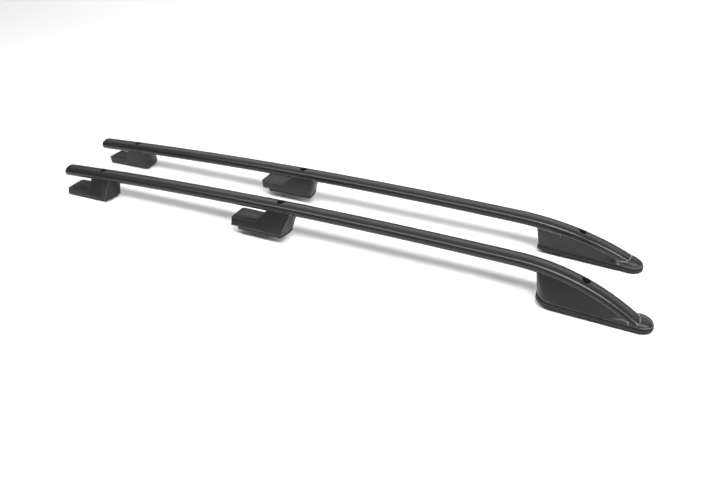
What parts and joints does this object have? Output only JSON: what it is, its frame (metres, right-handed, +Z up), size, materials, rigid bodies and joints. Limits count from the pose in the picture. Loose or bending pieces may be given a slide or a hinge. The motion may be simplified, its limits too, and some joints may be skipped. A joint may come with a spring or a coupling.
{
  "type": "roof side rail pair",
  "caption": "Pair of low vehicle roof side rails: bowed oval bars, each on moulded feet with rubber gaskets, bolted down through open access holes.",
  "frame": {"origin": "bottom centre of the pair's bounding box", "axes": "+X to the front end of the rails, +Y to the left rail, +Z up"},
  "size_m": [1.6742, 0.296, 0.1086],
  "materials": {
    "bar": "satin black powder coat",
    "plastic": "fine textured black moulding",
    "rubber": "matt black rubber",
    "steel": "zinc plated"
  },
  "bodies": {
    "root": {"right_bar": "bar", "right_rear_plug": "plastic", "right_rear_foot": "plastic", "right_middle_foot": "plastic", "right_front_foot": "plastic", "right_rear_gasket": "rubber", "right_middle_gasket": "rubber", "right_front_gasket": "rubber", "right_rear_foot_screws": "steel", "right_middle_foot_screws": "steel", "right_front_foot_screws": "steel", "left_bar": "bar", "left_rear_plug": "plastic", "left_rear_foot": "plastic", "left_middle_foot": "plastic", "left_front_foot": "plastic", "left_rear_gasket": "rubber", "left_middle_gasket": "rubber", "left_front_gasket": "rubber", "left_rear_foot_screws": "steel", "left_middle_foot_screws": "steel", "left_front_foot_screws": "steel"}
  },
  "joints": []
}
